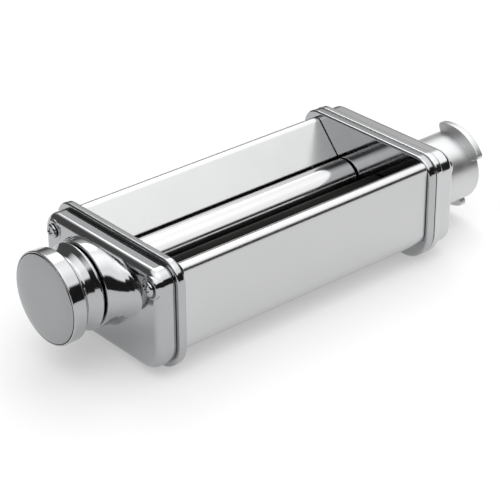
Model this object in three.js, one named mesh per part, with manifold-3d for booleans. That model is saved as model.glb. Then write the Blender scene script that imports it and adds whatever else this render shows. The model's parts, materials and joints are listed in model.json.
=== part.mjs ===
// Pasta roller machine: a mixer-driven roller head with a thickness knob at one end
// and a bayonet drive collar at the other.
// Millimetres, +Z up. X runs along the rollers: the knob is at -X and the collar at +X.
// -Y is the front. The origin is under the middle of the machine, on the resting plane.
import * as THREE from 'three';
import { mergeVertices } from 'three/addons/utils/BufferGeometryUtils.js';
import Module from 'manifold-3d';

const wasm = await Module();
wasm.setup();

// ---------------------------------------------------------------- driving dimensions
const GAP = 0.3;                       // clearance between neighbouring pieces

const PLATE_W = 88;                    // end plates: depth front to back
const PLATE_H = 55;                    // end plates: height, the bottom edge is the foot
const PLATE_R = 10;                    // end plates: upper corner radius
const PLATE_FOOT_R = 16;               // end plates: lower corner radius
const LEFT_OUT = -81.5;                // left end plate, outer face
const LEFT_IN = -77.4;                 // left end plate, inner face
const RIGHT_IN = 69.7;                 // right end plate, inner face
const RIGHT_OUT = 74.4;                // right end plate, outer face

// End caps: how far each stands inside the plate outline, its height above the foot, its upper and
// lower corner radii and the rounding round its face.
const LEFT_CAP = { inset: 2.5, bottom: 2, r: 8, foot: 14, edge: 4 };
const GEAR_COVER = { inset: 1.7, bottom: 3.5, r: 10, foot: 12, edge: 3 };
const CAP_WALL = 1.8;
const LEFT_CAP_FACE = -90.5;
const RIM_FACE = 78.8;                 // gear cover: outer face of its rim
const RIGHT_CAP_FACE = 88.1;

const KNOB_Z = 35.5;                   // knob axis, on the middle plane Y = 0
const BOSS_FACE = -101.2;              // front face of the knob boss
const BOSS_NOSE_R = 20.2;
const BOSS_BASE_R = 22.5;
const BOSS_WING = 7.5;                 // how much further the base reaches to the front and the rear
const BOSS_TOP = 12.5;                 // how far the base reaches above the knob axis
const KNOB_R = 21.7;
const KNOB_FRONT = -120.3;
const KNOB_BACK = -101.9;
const KNOB_NECK_R = 16.4;
const KNOB_RING_R = 20.2;
const KNOB_FACE_R = 20.6;               // disc that closes the knob's front
const SPRING_FLOOR = -109.2;           // bottom of the spring pocket in the knob
const WASHER_FRONT = -117.3;
const WASHER_BACK = -116.4;
const SHAFT_R = 3.2;
const SHAFT_SQUARE = 5.0;              // square end of the shaft that carries the knob
const DETENT_COUNT = 10;
const DETENT_STEP = 30;                // degrees from one thickness setting to the next
const DETENT_R = 11.5;                 // radius of the ring of detent holes

const ROLLER_R = 10.2;
const ROLLER_Z = 26.2;
const FRONT_Y = -11.2;                 // fixed roller axis
const NIP_WIDE = 4.2;                  // roller gap at the widest setting, the rest pose
const NIP_FINE = 0.3;                  // roller gap at the finest setting
const REAR_Y = FRONT_Y + 2 * ROLLER_R + NIP_WIDE;
const TRAVEL = NIP_WIDE - NIP_FINE;    // carriage travel between the two
const JOURNAL_R = 4;
const BUSH_R = 6.4;

const COLLAR_END = 121;
const COLLAR_R = 17.6;
const COLLAR_BORE_R = 14.6;
const LUG_T = 3.7;
// Bayonet lugs: where each starts and ends, in degrees from +Y towards +Z, and its outer radius.
const LUGS = [
  { from: 68, to: 152, r: 22.5 },
  { from: 240, to: 312, r: 21 },
];

const SHEET_T = 1.0;
const SHEET_BOTTOM = 8.6;
const SHEET_BEND_R = 8.5;              // lower bend, outside
const SHEET_ROLL_R = 3.5;              // rolled top edge, outside
const SHEET_LIP = { y: 19.2, z: 36.6 };      // free edge of both feed slopes
const FRONT_SHEET = { wall: 42.1, top: 53.2 };
const REAR_SHEET = { wall: 37.8, top: 51.8 };
const UPPER_ROD = { front: -35.8, rear: 33.6, z: 45, r: 2.8 };
const LOWER_ROD = { front: -33.5, rear: 32.3, z: 15.5, r: 2.6 };
const STUD_R = 2.3;                    // threaded ends of the lower tie rods
const STUD_L = 4.4;
const NUT_R = 4.3;                     // hexagon nuts, across corners / 2
const NUT_T = 3.4;
const SCREW_R = 1.6;                   // end cap screws
const HEAD_R = 3.4;
const HEAD_T = 1.7;
const PAD_T = 0.5;                     // raised pad under each screw head
const PAD_R = 5.4;
const PAD_ROOT = 3;                    // how deep a pad starts under the cap's face
const PILLAR_R = 4.4;                  // pillars inside the caps that the screws pass through

// ---------------------------------------------------------------- solid helpers
const rad = (deg) => deg * Math.PI / 180;

function toSolid(geometry) {
  const bare = new THREE.BufferGeometry();
  bare.setAttribute('position', geometry.getAttribute('position').clone());
  if (geometry.index) bare.setIndex(geometry.index.clone());
  const merged = mergeVertices(bare, 1e-4);
  const p = merged.getAttribute('position').array;
  const index = merged.index.array;
  const tris = [];
  for (let i = 0; i < index.length; i += 3) {
    const [a, b, c] = [index[i], index[i + 1], index[i + 2]];
    if (a !== b && b !== c && c !== a) tris.push(a, b, c);
  }
  let volume = 0;
  for (let i = 0; i < tris.length; i += 3) {
    const [a, b, c] = [3 * tris[i], 3 * tris[i + 1], 3 * tris[i + 2]];
    volume += p[a] * (p[b + 1] * p[c + 2] - p[b + 2] * p[c + 1])
      - p[a + 1] * (p[b] * p[c + 2] - p[b + 2] * p[c])
      + p[a + 2] * (p[b] * p[c + 1] - p[b + 1] * p[c]);
  }
  if (volume < 0) {
    for (let i = 0; i < tris.length; i += 3) [tris[i], tris[i + 1]] = [tris[i + 1], tris[i]];
  }
  return new wasm.Manifold(new wasm.Mesh({
    numProp: 3, vertProperties: Float32Array.from(p), triVerts: Uint32Array.from(tris),
  }));
}

function toGeometry(solid) {
  const mesh = solid.getMesh();
  const geometry = new THREE.BufferGeometry();
  geometry.setAttribute('position', new THREE.BufferAttribute(mesh.vertProperties, 3));
  geometry.setIndex(new THREE.BufferAttribute(mesh.triVerts, 1));
  geometry.computeVertexNormals();
  return geometry;
}

const join = (first, ...rest) => rest.reduce((sum, s) => sum.add(s), first);
const cut = (first, ...rest) => rest.reduce((sum, s) => sum.subtract(s), first);

// A box between two opposite corners.
function box(x0, x1, y0, y1, z0, z1) {
  const g = new THREE.BoxGeometry(x1 - x0, y1 - y0, z1 - z0);
  g.translate((x0 + x1) / 2, (y0 + y1) / 2, (z0 + z1) / 2);
  return toSolid(g);
}

// A flat outline in (y, z) carried along X from x0 to x1, its end edges bevelled by `bevel`.
function slab(shape, x0, x1, bevel = 0, segments = 2, curveSegments = 5) {
  const g = new THREE.ExtrudeGeometry(shape, {
    depth: x1 - x0 - 2 * bevel, bevelEnabled: bevel > 0, bevelThickness: bevel,
    bevelSize: bevel, bevelOffset: -bevel, bevelSegments: segments, curveSegments,
  });
  g.applyMatrix4(new THREE.Matrix4().set(0, 0, 1, x0 + bevel, 1, 0, 0, 0, 0, 1, 0, 0, 0, 0, 0, 1));
  return toSolid(g);
}

// A turned shape about an axis along X through (y, z): the profile is a list of [x, radius].
function turned(profile, y, z, segments = 36) {
  const g = new THREE.LatheGeometry(profile.map(([x, r]) => new THREE.Vector2(r, x)), segments);
  g.rotateZ(-Math.PI / 2);
  g.translate(0, y, z);
  return toSolid(g);
}

const rod = (x0, x1, r, y, z, segments = 20) =>
  turned([[x0, 0], [x0, r], [x1, r], [x1, 0]], y, z, segments);

const ring = (x0, x1, outer, inner, y, z, segments = 24) =>
  turned([[x0, inner], [x0, outer], [x1, outer], [x1, inner], [x0, inner]], y, z, segments);

// A rounded rectangle outline in (y, z). The lower corners may have a radius of their own.
function roundedOutline(y0, y1, z0, z1, r, foot = r) {
  const s = new THREE.Shape();
  s.moveTo(y0 + foot, z0);
  s.lineTo(y1 - foot, z0);
  s.absarc(y1 - foot, z0 + foot, foot, -Math.PI / 2, 0, false);
  s.lineTo(y1, z1 - r);
  s.absarc(y1 - r, z1 - r, r, 0, Math.PI / 2, false);
  s.lineTo(y0 + r, z1);
  s.absarc(y0 + r, z1 - r, r, Math.PI / 2, Math.PI, false);
  s.lineTo(y0, z0 + foot);
  s.absarc(y0 + foot, z0 + foot, foot, Math.PI, 1.5 * Math.PI, false);
  return s;
}

function outline(points) {
  return new THREE.Shape(points.map(([y, z]) => new THREE.Vector2(y, z)));
}

// A slot with round ends along Y.
const slotOutline = (y0, y1, z, r) => roundedOutline(y0 - r, y1 + r, z - r, z + r, r - 0.001);

// ---------------------------------------------------------------- materials
const look = (color, roughness, metalness) => () =>
  new THREE.MeshStandardMaterial({ color, roughness, metalness });
const CHROME = look(0xc9cacc, 0.12, 1);
const SHEET_STEEL = look(0xd2d3d5, 0.2, 1);
const ROLLER_STEEL = look(0xdedfe1, 0.15, 1);
const DARK_STEEL = look(0x8b8e92, 0.4, 1);
const BRASS = look(0xb08d4a, 0.35, 1);
const NYLON = look(0xe8e6dd, 0.6, 0);
const SPRING_STEEL = look(0x9a9da2, 0.3, 1);

const machine = new THREE.Group();
machine.name = 'pasta_roller_machine';

function add(name, solid, material) {
  const mesh = new THREE.Mesh(toGeometry(solid), material());
  mesh.name = name;
  machine.add(mesh);
}

// ---------------------------------------------------------------- shared layout
const SIDES = ['front', 'rear'];
const plateOutline = () => roundedOutline(-PLATE_W / 2, PLATE_W / 2, 0, PLATE_H, PLATE_R, PLATE_FOOT_R);
const capOutline = (cap, inset = 0) => roundedOutline(
  -PLATE_W / 2 + cap.inset + inset, PLATE_W / 2 - cap.inset - inset,
  cap.bottom + inset, PLATE_H - cap.inset - inset, cap.r - inset * 0.8, cap.foot - inset * 0.8);

// Bars that cross the body under the rollers: the fixed one in front, the sliding one behind.
const BAR = { near: 20.5, far: 25.5, z0: 12.5, z1: 16.5 };
const GUIDE = [{ y: 22.5, z: 38 }, { y: 26, z: 22.5 }];   // pins the carriage plates slide on
const GUIDE_R = 1.6;

// ---------------------------------------------------------------- end plates
function endPlate(x0, x1) {
  const through = (shape) => slab(shape, x0 - 1, x1 + 1);
  let plate = slab(plateOutline(), x0, x1, 1, 2, 6);
  plate = cut(plate,
    rod(x0 - 1, x1 + 1, BUSH_R + GAP, FRONT_Y, ROLLER_Z, 24),
    through(slotOutline(REAR_Y - TRAVEL, REAR_Y, ROLLER_Z, JOURNAL_R + 0.5)),
    through(outline([[BAR.near - TRAVEL - 0.5, BAR.z0 - GAP], [BAR.far + GAP, BAR.z0 - GAP],
      [BAR.far + GAP, BAR.z1 + GAP], [BAR.near - TRAVEL - 0.5, BAR.z1 + GAP]])),
    box(x0 - 1, x1 + 1, -BAR.far - GAP, -BAR.near + GAP, BAR.z0 - GAP, BAR.z1 + GAP));
  for (const side of SIDES) {
    plate = cut(plate,
      rod(x0 - 1, x1 + 1, SCREW_R + GAP, UPPER_ROD[side], UPPER_ROD.z, 12),
      rod(x0 - 1, x1 + 1, STUD_R + GAP, LOWER_ROD[side], LOWER_ROD.z, 12));
  }
  for (const pin of GUIDE) plate = cut(plate, rod(x0 - 1, x1 + 1, GUIDE_R + GAP, pin.y, pin.z, 12));
  return plate;
}
add('left_end_plate', endPlate(LEFT_OUT, LEFT_IN), CHROME);
add('right_end_plate', endPlate(RIGHT_IN, RIGHT_OUT), CHROME);

// ---------------------------------------------------------------- sheets
// Line of a sheet seen from its end: bottom lip, lower bend, wall, rolled top edge, feed slope.
// `depth` is how far under the outer skin the line runs.
function sheetLine({ wall, top }, depth) {
  const arc = (cy, cz, r, from, to, steps) => [...Array(steps + 1).keys()].map((i) => {
    const a = from + (to - from) * i / steps;
    return [cy + r * Math.cos(a), cz + r * Math.sin(a)];
  });
  const roll = { y: wall - SHEET_ROLL_R, z: top - SHEET_ROLL_R };
  const [dy, dz] = [roll.y - SHEET_LIP.y, roll.z - SHEET_LIP.z];
  const slope = Math.atan2(dz, dy) + Math.asin(SHEET_ROLL_R / Math.hypot(dy, dz));
  return [
    [27, SHEET_BOTTOM + depth],
    ...arc(wall - SHEET_BEND_R, SHEET_BOTTOM + SHEET_BEND_R, SHEET_BEND_R - depth, rad(270), rad(360), 6),
    ...arc(roll.y, roll.z, SHEET_ROLL_R - depth, 0, Math.PI / 2 + slope, 8),
    [SHEET_LIP.y + depth * Math.sin(slope), SHEET_LIP.z - depth * Math.cos(slope)],
  ];
}
function sheet(spec, side) {
  const line = [...sheetLine(spec, 0), ...sheetLine(spec, SHEET_T).reverse()];
  return slab(outline(line.map(([y, z]) => [side * y, z])), LEFT_IN + GAP, RIGHT_IN - GAP);
}
add('front_sheet', sheet(FRONT_SHEET, -1), SHEET_STEEL);
add('rear_sheet', sheet(REAR_SHEET, 1), SHEET_STEEL);

// ---------------------------------------------------------------- tie rods, nuts, screws
const hexagon = (y, z, r) => outline([...Array(6).keys()].map((i) =>
  [y + r * Math.cos(rad(60 * i + 30)), z + r * Math.sin(rad(60 * i + 30))]));

// Pan head screw with a cross recess. `dir` is the way its head faces along X.
function screw(headX, dir, y, z, length) {
  const at = (d) => headX - dir * d;
  const span = (d0, d1) => [Math.min(at(d0), at(d1)), Math.max(at(d0), at(d1))];
  const head = turned([[at(HEAD_T), 0], [at(HEAD_T), HEAD_R], [at(1.0), HEAD_R], [at(0.4), HEAD_R - 0.5],
    [at(0), HEAD_R - 1.7], [at(0), 0]], y, z, 20);
  const shank = rod(...span(1, length), SCREW_R, y, z, 12);
  const blade = (w, h) => box(...span(-1, 1), y - w, y + w, z - h, z + h);
  return cut(join(head, shank), blade(1.9, 0.4), blade(0.4, 1.9));
}

const LEFT_SCREW_X = LEFT_CAP_FACE - PAD_T - GAP - HEAD_T;
const RIGHT_SCREW_X = RIGHT_CAP_FACE + PAD_T + GAP + HEAD_T;
for (const side of SIDES) {
  const [y, z] = [UPPER_ROD[side], UPPER_ROD.z];
  const bore = (x0, x1) => rod(x0, x1, SCREW_R + GAP, y, z, 12);
  add(`${side}_upper_tie_rod`, cut(rod(LEFT_IN + GAP, RIGHT_IN - GAP, UPPER_ROD.r, y, z),
    bore(LEFT_IN - 1, LEFT_IN + 9), bore(RIGHT_IN - 9, RIGHT_IN + 1)), DARK_STEEL);
  add(`left_cap_screw_${side}`, screw(LEFT_SCREW_X, -1, y, z, 20), CHROME);
  add(`gear_cover_screw_${side}`, screw(RIGHT_SCREW_X, 1, y, z, 26), CHROME);
}
for (const side of SIDES) {
  const [y, z] = [LOWER_ROD[side], LOWER_ROD.z];
  add(`${side}_lower_tie_rod`, join(rod(LEFT_IN + GAP, RIGHT_IN - GAP, LOWER_ROD.r, y, z),
    rod(LEFT_OUT - STUD_L, RIGHT_OUT + STUD_L, STUD_R, y, z, 12)), DARK_STEEL);
  const nut = (x0) => cut(slab(hexagon(y, z, NUT_R), x0, x0 + NUT_T),
    rod(x0 - 1, x0 + NUT_T + 1, STUD_R + GAP, y, z, 12));
  add(`${side}_tie_rod_nut_left`, nut(LEFT_OUT - GAP - NUT_T), DARK_STEEL);
  add(`${side}_tie_rod_nut_right`, nut(RIGHT_OUT + GAP), DARK_STEEL);
}

// ---------------------------------------------------------------- end caps
// Screw pillar and raised pad of a cap whose face is at `face` and whose open back is at `back`.
function screwSeat(cap, side, face, back, dir) {
  const [y, z] = [UPPER_ROD[side], UPPER_ROD.z];
  const [x0, x1] = [Math.min(face - dir, back), Math.max(face - dir, back)];
  const pad = turned([[face - dir * PAD_ROOT, 0], [face - dir * PAD_ROOT, PAD_R], [face, PAD_R],
    [face + dir * PAD_T, PAD_R - 0.6], [face + dir * PAD_T, 0]], y, z, 20);
  const reach = slab(capOutline(cap, 0.6), Math.min(face, back) - PAD_ROOT, Math.max(face, back) + PAD_ROOT);
  return join(rod(x0, x1, PILLAR_R, y, z, 16), pad.intersect(reach));
}
const screwHole = (x0, x1, side) => rod(x0, x1, SCREW_R + GAP, UPPER_ROD[side], UPPER_ROD.z, 12);

// The knob boss: round at its nose. At its base it flares into two wings, to the front and the rear,
// and its top comes down to the flat of the cap's face.
function boss(inside) {
  const profile = [[inside, 0], [inside, BOSS_BASE_R], [LEFT_CAP_FACE, BOSS_BASE_R],
    [LEFT_CAP_FACE - 1, BOSS_BASE_R - 0.9], [LEFT_CAP_FACE - 2.5, BOSS_BASE_R - 1.5],
    [LEFT_CAP_FACE - 5, BOSS_NOSE_R + 0.4], [BOSS_FACE + 0.7, BOSS_NOSE_R], [BOSS_FACE, BOSS_NOSE_R - 0.7],
    [BOSS_FACE, 0]].map(([x, r]) => new THREE.Vector2(r, x));
  const g = new THREE.LatheGeometry(profile, 48);
  g.rotateZ(-Math.PI / 2);
  const p = g.getAttribute('position');
  for (let i = 0; i < p.count; i++) {
    const [x, y, z] = [p.getX(i), p.getY(i), p.getZ(i)];
    const r = Math.hypot(y, z);
    if (r < BOSS_NOSE_R - 1) continue;
    const flare = Math.min(1, (x - BOSS_FACE) / (LEFT_CAP_FACE - BOSS_FACE)) ** 2;
    const top = BOSS_NOSE_R + (BOSS_TOP - BOSS_NOSE_R) * flare;
    const reach = r + BOSS_WING * flare * Math.abs(y / r) ** 10;
    const k = Math.min(reach, z > 0 ? top * r / z : reach) / r;
    p.setXYZ(i, x, y * k, z * k);
  }
  g.translate(0, 0, KNOB_Z);
  return toSolid(g);
}
{
  const back = LEFT_OUT - GAP;
  const inside = LEFT_CAP_FACE + CAP_WALL;
  let cap = cut(slab(capOutline(LEFT_CAP), LEFT_CAP_FACE, LEFT_OUT + 5, LEFT_CAP.edge, 3, 6),
    box(back, LEFT_OUT + 20, -60, 60, -10, 80),
    slab(capOutline(LEFT_CAP, CAP_WALL), inside, LEFT_OUT + 5));
  for (const side of SIDES) cap = join(cap, screwSeat(LEFT_CAP, side, LEFT_CAP_FACE, back, -1));
  cap = cut(join(cap, boss(inside)), rod(BOSS_FACE - 1, inside + 1, BUSH_R - 1 + GAP, 0, KNOB_Z, 24));
  for (const side of SIDES) cap = cut(cap, screwHole(LEFT_CAP_FACE - 2, back + 1, side));
  for (let i = 0; i < DETENT_COUNT; i++) {
    const a = rad(i * DETENT_STEP);
    cap = cut(cap, rod(BOSS_FACE - 1, BOSS_FACE + 4, 1.5,
      DETENT_R * Math.cos(a), KNOB_Z + DETENT_R * Math.sin(a), 8));
  }
  add('left_end_cap', cap, CHROME);
}
add('knob_shaft_bush',
  ring(BOSS_FACE, LEFT_CAP_FACE + CAP_WALL, BUSH_R - 1, SHAFT_R + GAP, 0, KNOB_Z), BRASS);

// The gear cover carries the drive collar, whose end has two bayonet lugs.
const BEARING_END = RIGHT_CAP_FACE + 3.4;    // end of the drive bearing, inside the collar
{
  const back = RIGHT_OUT + GAP;
  const wallIn = RIGHT_CAP_FACE - 2;
  let cover = cut(
    join(slab(plateOutline(), RIGHT_OUT - 4, RIM_FACE, 1, 2, 6),
      slab(capOutline(GEAR_COVER), RIGHT_OUT - 6, RIGHT_CAP_FACE, GEAR_COVER.edge, 3, 6)),
    box(0, back, -60, 60, -10, 80),
    slab(capOutline(GEAR_COVER, CAP_WALL), RIGHT_OUT - 5, wallIn));
  for (const side of SIDES) cover = join(cover, screwSeat(GEAR_COVER, side, RIGHT_CAP_FACE, back, 1));
  cover = join(cover, turned([[wallIn, 0], [wallIn, COLLAR_R + 2], [RIGHT_CAP_FACE, COLLAR_R + 4],
    [RIGHT_CAP_FACE + 1, COLLAR_R + 1.8], [RIGHT_CAP_FACE + 3.5, COLLAR_R], [COLLAR_END - 0.6, COLLAR_R],
    [COLLAR_END, COLLAR_R - 0.6], [COLLAR_END, 0]], FRONT_Y, ROLLER_Z, 40));
  for (const { from, to, r } of LUGS) {
    const lug = new THREE.Shape();
    lug.absarc(FRONT_Y, ROLLER_Z, r, rad(from), rad(to), false);
    lug.absarc(FRONT_Y, ROLLER_Z, COLLAR_R - 1, rad(to), rad(from), true);
    cover = join(cover, slab(lug, COLLAR_END - LUG_T, COLLAR_END, 0.5, 1, 9));
  }
  cover = cut(cover,
    rod(BEARING_END, COLLAR_END + 1, COLLAR_BORE_R, FRONT_Y, ROLLER_Z, 36),
    rod(wallIn - 1, BEARING_END + 1, BUSH_R + GAP, FRONT_Y, ROLLER_Z, 24));
  for (const side of SIDES) cover = cut(cover, screwHole(back - 1, RIGHT_CAP_FACE + 2, side));
  add('gear_cover', cover, CHROME);
}
add('drive_bush', ring(RIGHT_CAP_FACE - 2, BEARING_END, BUSH_R, JOURNAL_R + GAP, FRONT_Y, ROLLER_Z), BRASS);

// ---------------------------------------------------------------- rollers, gears, bushes
const ROLLER_L0 = LEFT_IN + 0.8;
const ROLLER_L1 = RIGHT_IN - 0.8;
const CARRIAGE_T = 2.4;                // thickness of the carriage plates
const CARRIAGE_L = LEFT_OUT - 0.4 - CARRIAGE_T;     // outer face of the left carriage plate
const CARRIAGE_R = RIGHT_OUT + 0.4;                 // inner face of the right carriage plate
const SHAFT_END = 110;                 // end of the drive shaft, inside the coupling
const GEAR_X0 = 78.3;
const GEAR_X1 = 84.6;

function roller(y, leftEnd, rightEnd) {
  return turned([[leftEnd, 0], [leftEnd, JOURNAL_R - 0.4], [leftEnd + 0.4, JOURNAL_R],
    [ROLLER_L0, JOURNAL_R], [ROLLER_L0, ROLLER_R - 0.5], [ROLLER_L0 + 0.5, ROLLER_R],
    [ROLLER_L1 - 0.5, ROLLER_R], [ROLLER_L1, ROLLER_R - 0.5], [ROLLER_L1, JOURNAL_R],
    [rightEnd - 0.4, JOURNAL_R], [rightEnd, JOURNAL_R - 0.4], [rightEnd, 0]], y, ROLLER_Z, 36);
}
add('front_roller', roller(FRONT_Y, LEFT_OUT - 2, SHAFT_END), ROLLER_STEEL);
add('rear_roller', roller(REAR_Y, CARRIAGE_L + 0.1, GEAR_X1 + 0.6), ROLLER_STEEL);

// Long straight-flanked teeth, so that the pair stays in mesh as the roller gap changes: their root
// and tip radii, and half their thickness there.
const TEETH = 10;
const TOOTH = { root: 7.3, tip: 13.0, rootHalf: 1.0, tipHalf: 0.42 };
function gear(y, phase) {
  const points = [];
  for (let i = 0; i < TEETH; i++) {
    const a = rad(phase + 360 * i / TEETH);
    for (const [r, w] of [[TOOTH.root, -TOOTH.rootHalf], [TOOTH.tip, -TOOTH.tipHalf],
      [TOOTH.tip, TOOTH.tipHalf], [TOOTH.root, TOOTH.rootHalf]]) {
      points.push([y + r * Math.cos(a) - w * Math.sin(a), ROLLER_Z + r * Math.sin(a) + w * Math.cos(a)]);
    }
  }
  return cut(slab(outline(points), GEAR_X0, GEAR_X1),
    rod(GEAR_X0 - 1, GEAR_X1 + 1, JOURNAL_R + GAP, y, ROLLER_Z, 20));
}
add('front_gear', gear(FRONT_Y, 0), DARK_STEEL);
add('rear_gear', gear(REAR_Y, 180 / TEETH), DARK_STEEL);

const journalBush = (x0, x1, y) => ring(x0, x1, BUSH_R, JOURNAL_R + GAP, y, ROLLER_Z);
add('front_bush_left', journalBush(LEFT_OUT, LEFT_IN, FRONT_Y), BRASS);
add('front_bush_right', journalBush(RIGHT_IN, RIGHT_OUT, FRONT_Y), BRASS);
add('rear_bush_left', journalBush(CARRIAGE_L, CARRIAGE_L + CARRIAGE_T, REAR_Y), BRASS);
add('rear_bush_right', journalBush(CARRIAGE_R, CARRIAGE_R + CARRIAGE_T, REAR_Y), BRASS);

// ---------------------------------------------------------------- drive coupling
const COUPLING_X0 = 97;
const COUPLING_X1 = 117;
const COUPLING_R = 8;
const SOCKET_R = 5.2;                  // hexagon socket, across corners / 2
add('drive_coupling', cut(
  turned([[COUPLING_X0, 0], [COUPLING_X0, COUPLING_R - 1], [COUPLING_X0 + 1, COUPLING_R],
    [COUPLING_X1 - 1, COUPLING_R], [COUPLING_X1, COUPLING_R - 1], [COUPLING_X1, 0]], FRONT_Y, ROLLER_Z, 28),
  rod(COUPLING_X0 - 1, SHAFT_END + GAP, JOURNAL_R + GAP, FRONT_Y, ROLLER_Z, 20),
  slab(hexagon(FRONT_Y, ROLLER_Z, SOCKET_R), SHAFT_END + 2, COUPLING_X1 + 1)), DARK_STEEL);

// ---------------------------------------------------------------- sliding carriage
const PIN_R = 1.5;
const PIN_Y = 9.4;                     // cam pin at the widest setting, level with the knob axis
function carriagePlate(x0) {
  const [a, b] = [x0, x0 + CARRIAGE_T];
  let plate = slab(outline([[5.5, 33], [5.5, 38], [8, 40.5], [27.2, 42.4], [30.4, 39.5], [34.6, 30],
    [34.6, 21.4], [28, 18.6], [28, 10.5], [18, 10.5], [17.5, 16], [6, 20]]), a, b);
  plate = cut(plate, rod(a - 1, b + 1, BUSH_R + GAP, REAR_Y, ROLLER_Z, 24),
    box(a - 1, b + 1, BAR.near - GAP, BAR.far + GAP, BAR.z0 - GAP, BAR.z1 + GAP));
  for (const pin of GUIDE) {
    plate = cut(plate, slab(slotOutline(pin.y, pin.y + TRAVEL, pin.z, GUIDE_R + GAP), a - 1, b + 1));
  }
  return plate;
}
add('carriage_plate_left', cut(carriagePlate(CARRIAGE_L),
  rod(CARRIAGE_L - 1, LEFT_OUT, PIN_R + GAP, PIN_Y, KNOB_Z, 12)), DARK_STEEL);
add('carriage_plate_right', carriagePlate(CARRIAGE_R), DARK_STEEL);
add('carriage_bar', box(CARRIAGE_L, CARRIAGE_R + CARRIAGE_T, BAR.near, BAR.far, BAR.z0, BAR.z1), DARK_STEEL);
add('cam_pin', rod(CARRIAGE_L - 2.9, CARRIAGE_L + CARRIAGE_T, PIN_R, PIN_Y, KNOB_Z, 16), DARK_STEEL);

// Headed guide pins, fixed in the end plates and running in the slots of the carriage plates.
const GUIDE_HEAD = { r: 3.2, t: 0.5 };
GUIDE.forEach((pin, i) => {
  const where = i === 0 ? 'upper' : 'lower';
  const headed = (foot, neck, dir) => turned([[foot, 0], [foot, GUIDE_R], [neck, GUIDE_R],
    [neck, GUIDE_HEAD.r], [neck + dir * GUIDE_HEAD.t, GUIDE_HEAD.r], [neck + dir * GUIDE_HEAD.t, 0]],
  pin.y, pin.z, 14);
  add(`guide_pin_left_${where}`, headed(LEFT_IN - 0.4, CARRIAGE_L - GAP, -1), DARK_STEEL);
  add(`guide_pin_right_${where}`, headed(RIGHT_IN + 0.4, CARRIAGE_R + CARRIAGE_T + GAP, 1), DARK_STEEL);
});

// ---------------------------------------------------------------- dough scrapers
add('front_scraper_bar',
  box(LEFT_OUT + 0.6, RIGHT_OUT - 0.6, -BAR.far, -BAR.near, BAR.z0, BAR.z1), DARK_STEEL);
// A blade that stands on its bar and leans to the underside of its roller.
const SCRAPE_ANGLE = -52;              // where the blade meets the roller, degrees above level
const BLADE = { t: 0.9, foot: 2.6, back: 1.4 };
function scraper(axisY, side) {
  const angle = rad(SCRAPE_ANGLE);
  const reach = ROLLER_R + GAP;
  const tip = [axisY + side * reach * Math.cos(angle), ROLLER_Z + reach * Math.sin(angle)];
  const foot = [axisY + side * (Math.abs(axisY - side * BAR.near) + BLADE.back), BAR.z1 + GAP];
  const heel = foot[0] + side * BLADE.foot;
  return slab(outline([foot, [heel, foot[1]], [heel, foot[1] + BLADE.t],
    [foot[0] + side, foot[1] + BLADE.t], [tip[0] + side * 0.5, tip[1] - 0.1], tip]),
  ROLLER_L0, ROLLER_L1);
}
add('front_scraper', scraper(FRONT_Y, -1), NYLON);
add('rear_scraper', scraper(REAR_Y, 1), NYLON);

// ---------------------------------------------------------------- scroll cam and knob shaft
const squareBar = (x0, x1, s) => box(x0, x1, -s / 2, s / 2, KNOB_Z - s / 2, KNOB_Z + s / 2);
const CAM_X0 = CARRIAGE_L - 3.0;
const CAM_X1 = CARRIAGE_L - GAP - 0.2;
const CAM_SWEEP = (DETENT_COUNT - 1) * DETENT_STEP;
const CAM_R = 13.4;
const CAM_SQUARE = 3.6;                // square end of the shaft that turns the cam
{
  const half = PIN_R + GAP;
  const [inner, outer] = [[], []];
  const extra = 25;                    // degrees the slot runs on past each end setting
  for (let d = -extra; d <= CAM_SWEEP + extra; d += 8) {
    const r = PIN_Y - TRAVEL * d / CAM_SWEEP;
    const a = rad(-d);
    const at = (radius) => [radius * Math.cos(a), KNOB_Z + radius * Math.sin(a)];
    inner.push(at(r - half));
    outer.push(at(r + half));
  }
  add('scroll_cam', cut(rod(CAM_X0, CAM_X1, CAM_R, 0, KNOB_Z, 36),
    slab(outline([...inner, ...outer.reverse()]), CAM_X0 - 1, CAM_X1 + 1),
    squareBar(CAM_X0 - 1, CAM_X1 + 1, CAM_SQUARE + 2 * GAP)), DARK_STEEL);
}
add('knob_shaft', join(
  rod(BOSS_FACE, LEFT_CAP_FACE + CAP_WALL + 0.6, SHAFT_R, 0, KNOB_Z, 32),
  squareBar(WASHER_FRONT - 0.3, BOSS_FACE, SHAFT_SQUARE - 2 * GAP),
  rod(WASHER_FRONT - 1.1, WASHER_FRONT, 1.8, 0, KNOB_Z, 20),
  squareBar(LEFT_CAP_FACE + CAP_WALL, CAM_X1 + 0.1, CAM_SQUARE)), DARK_STEEL);

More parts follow.
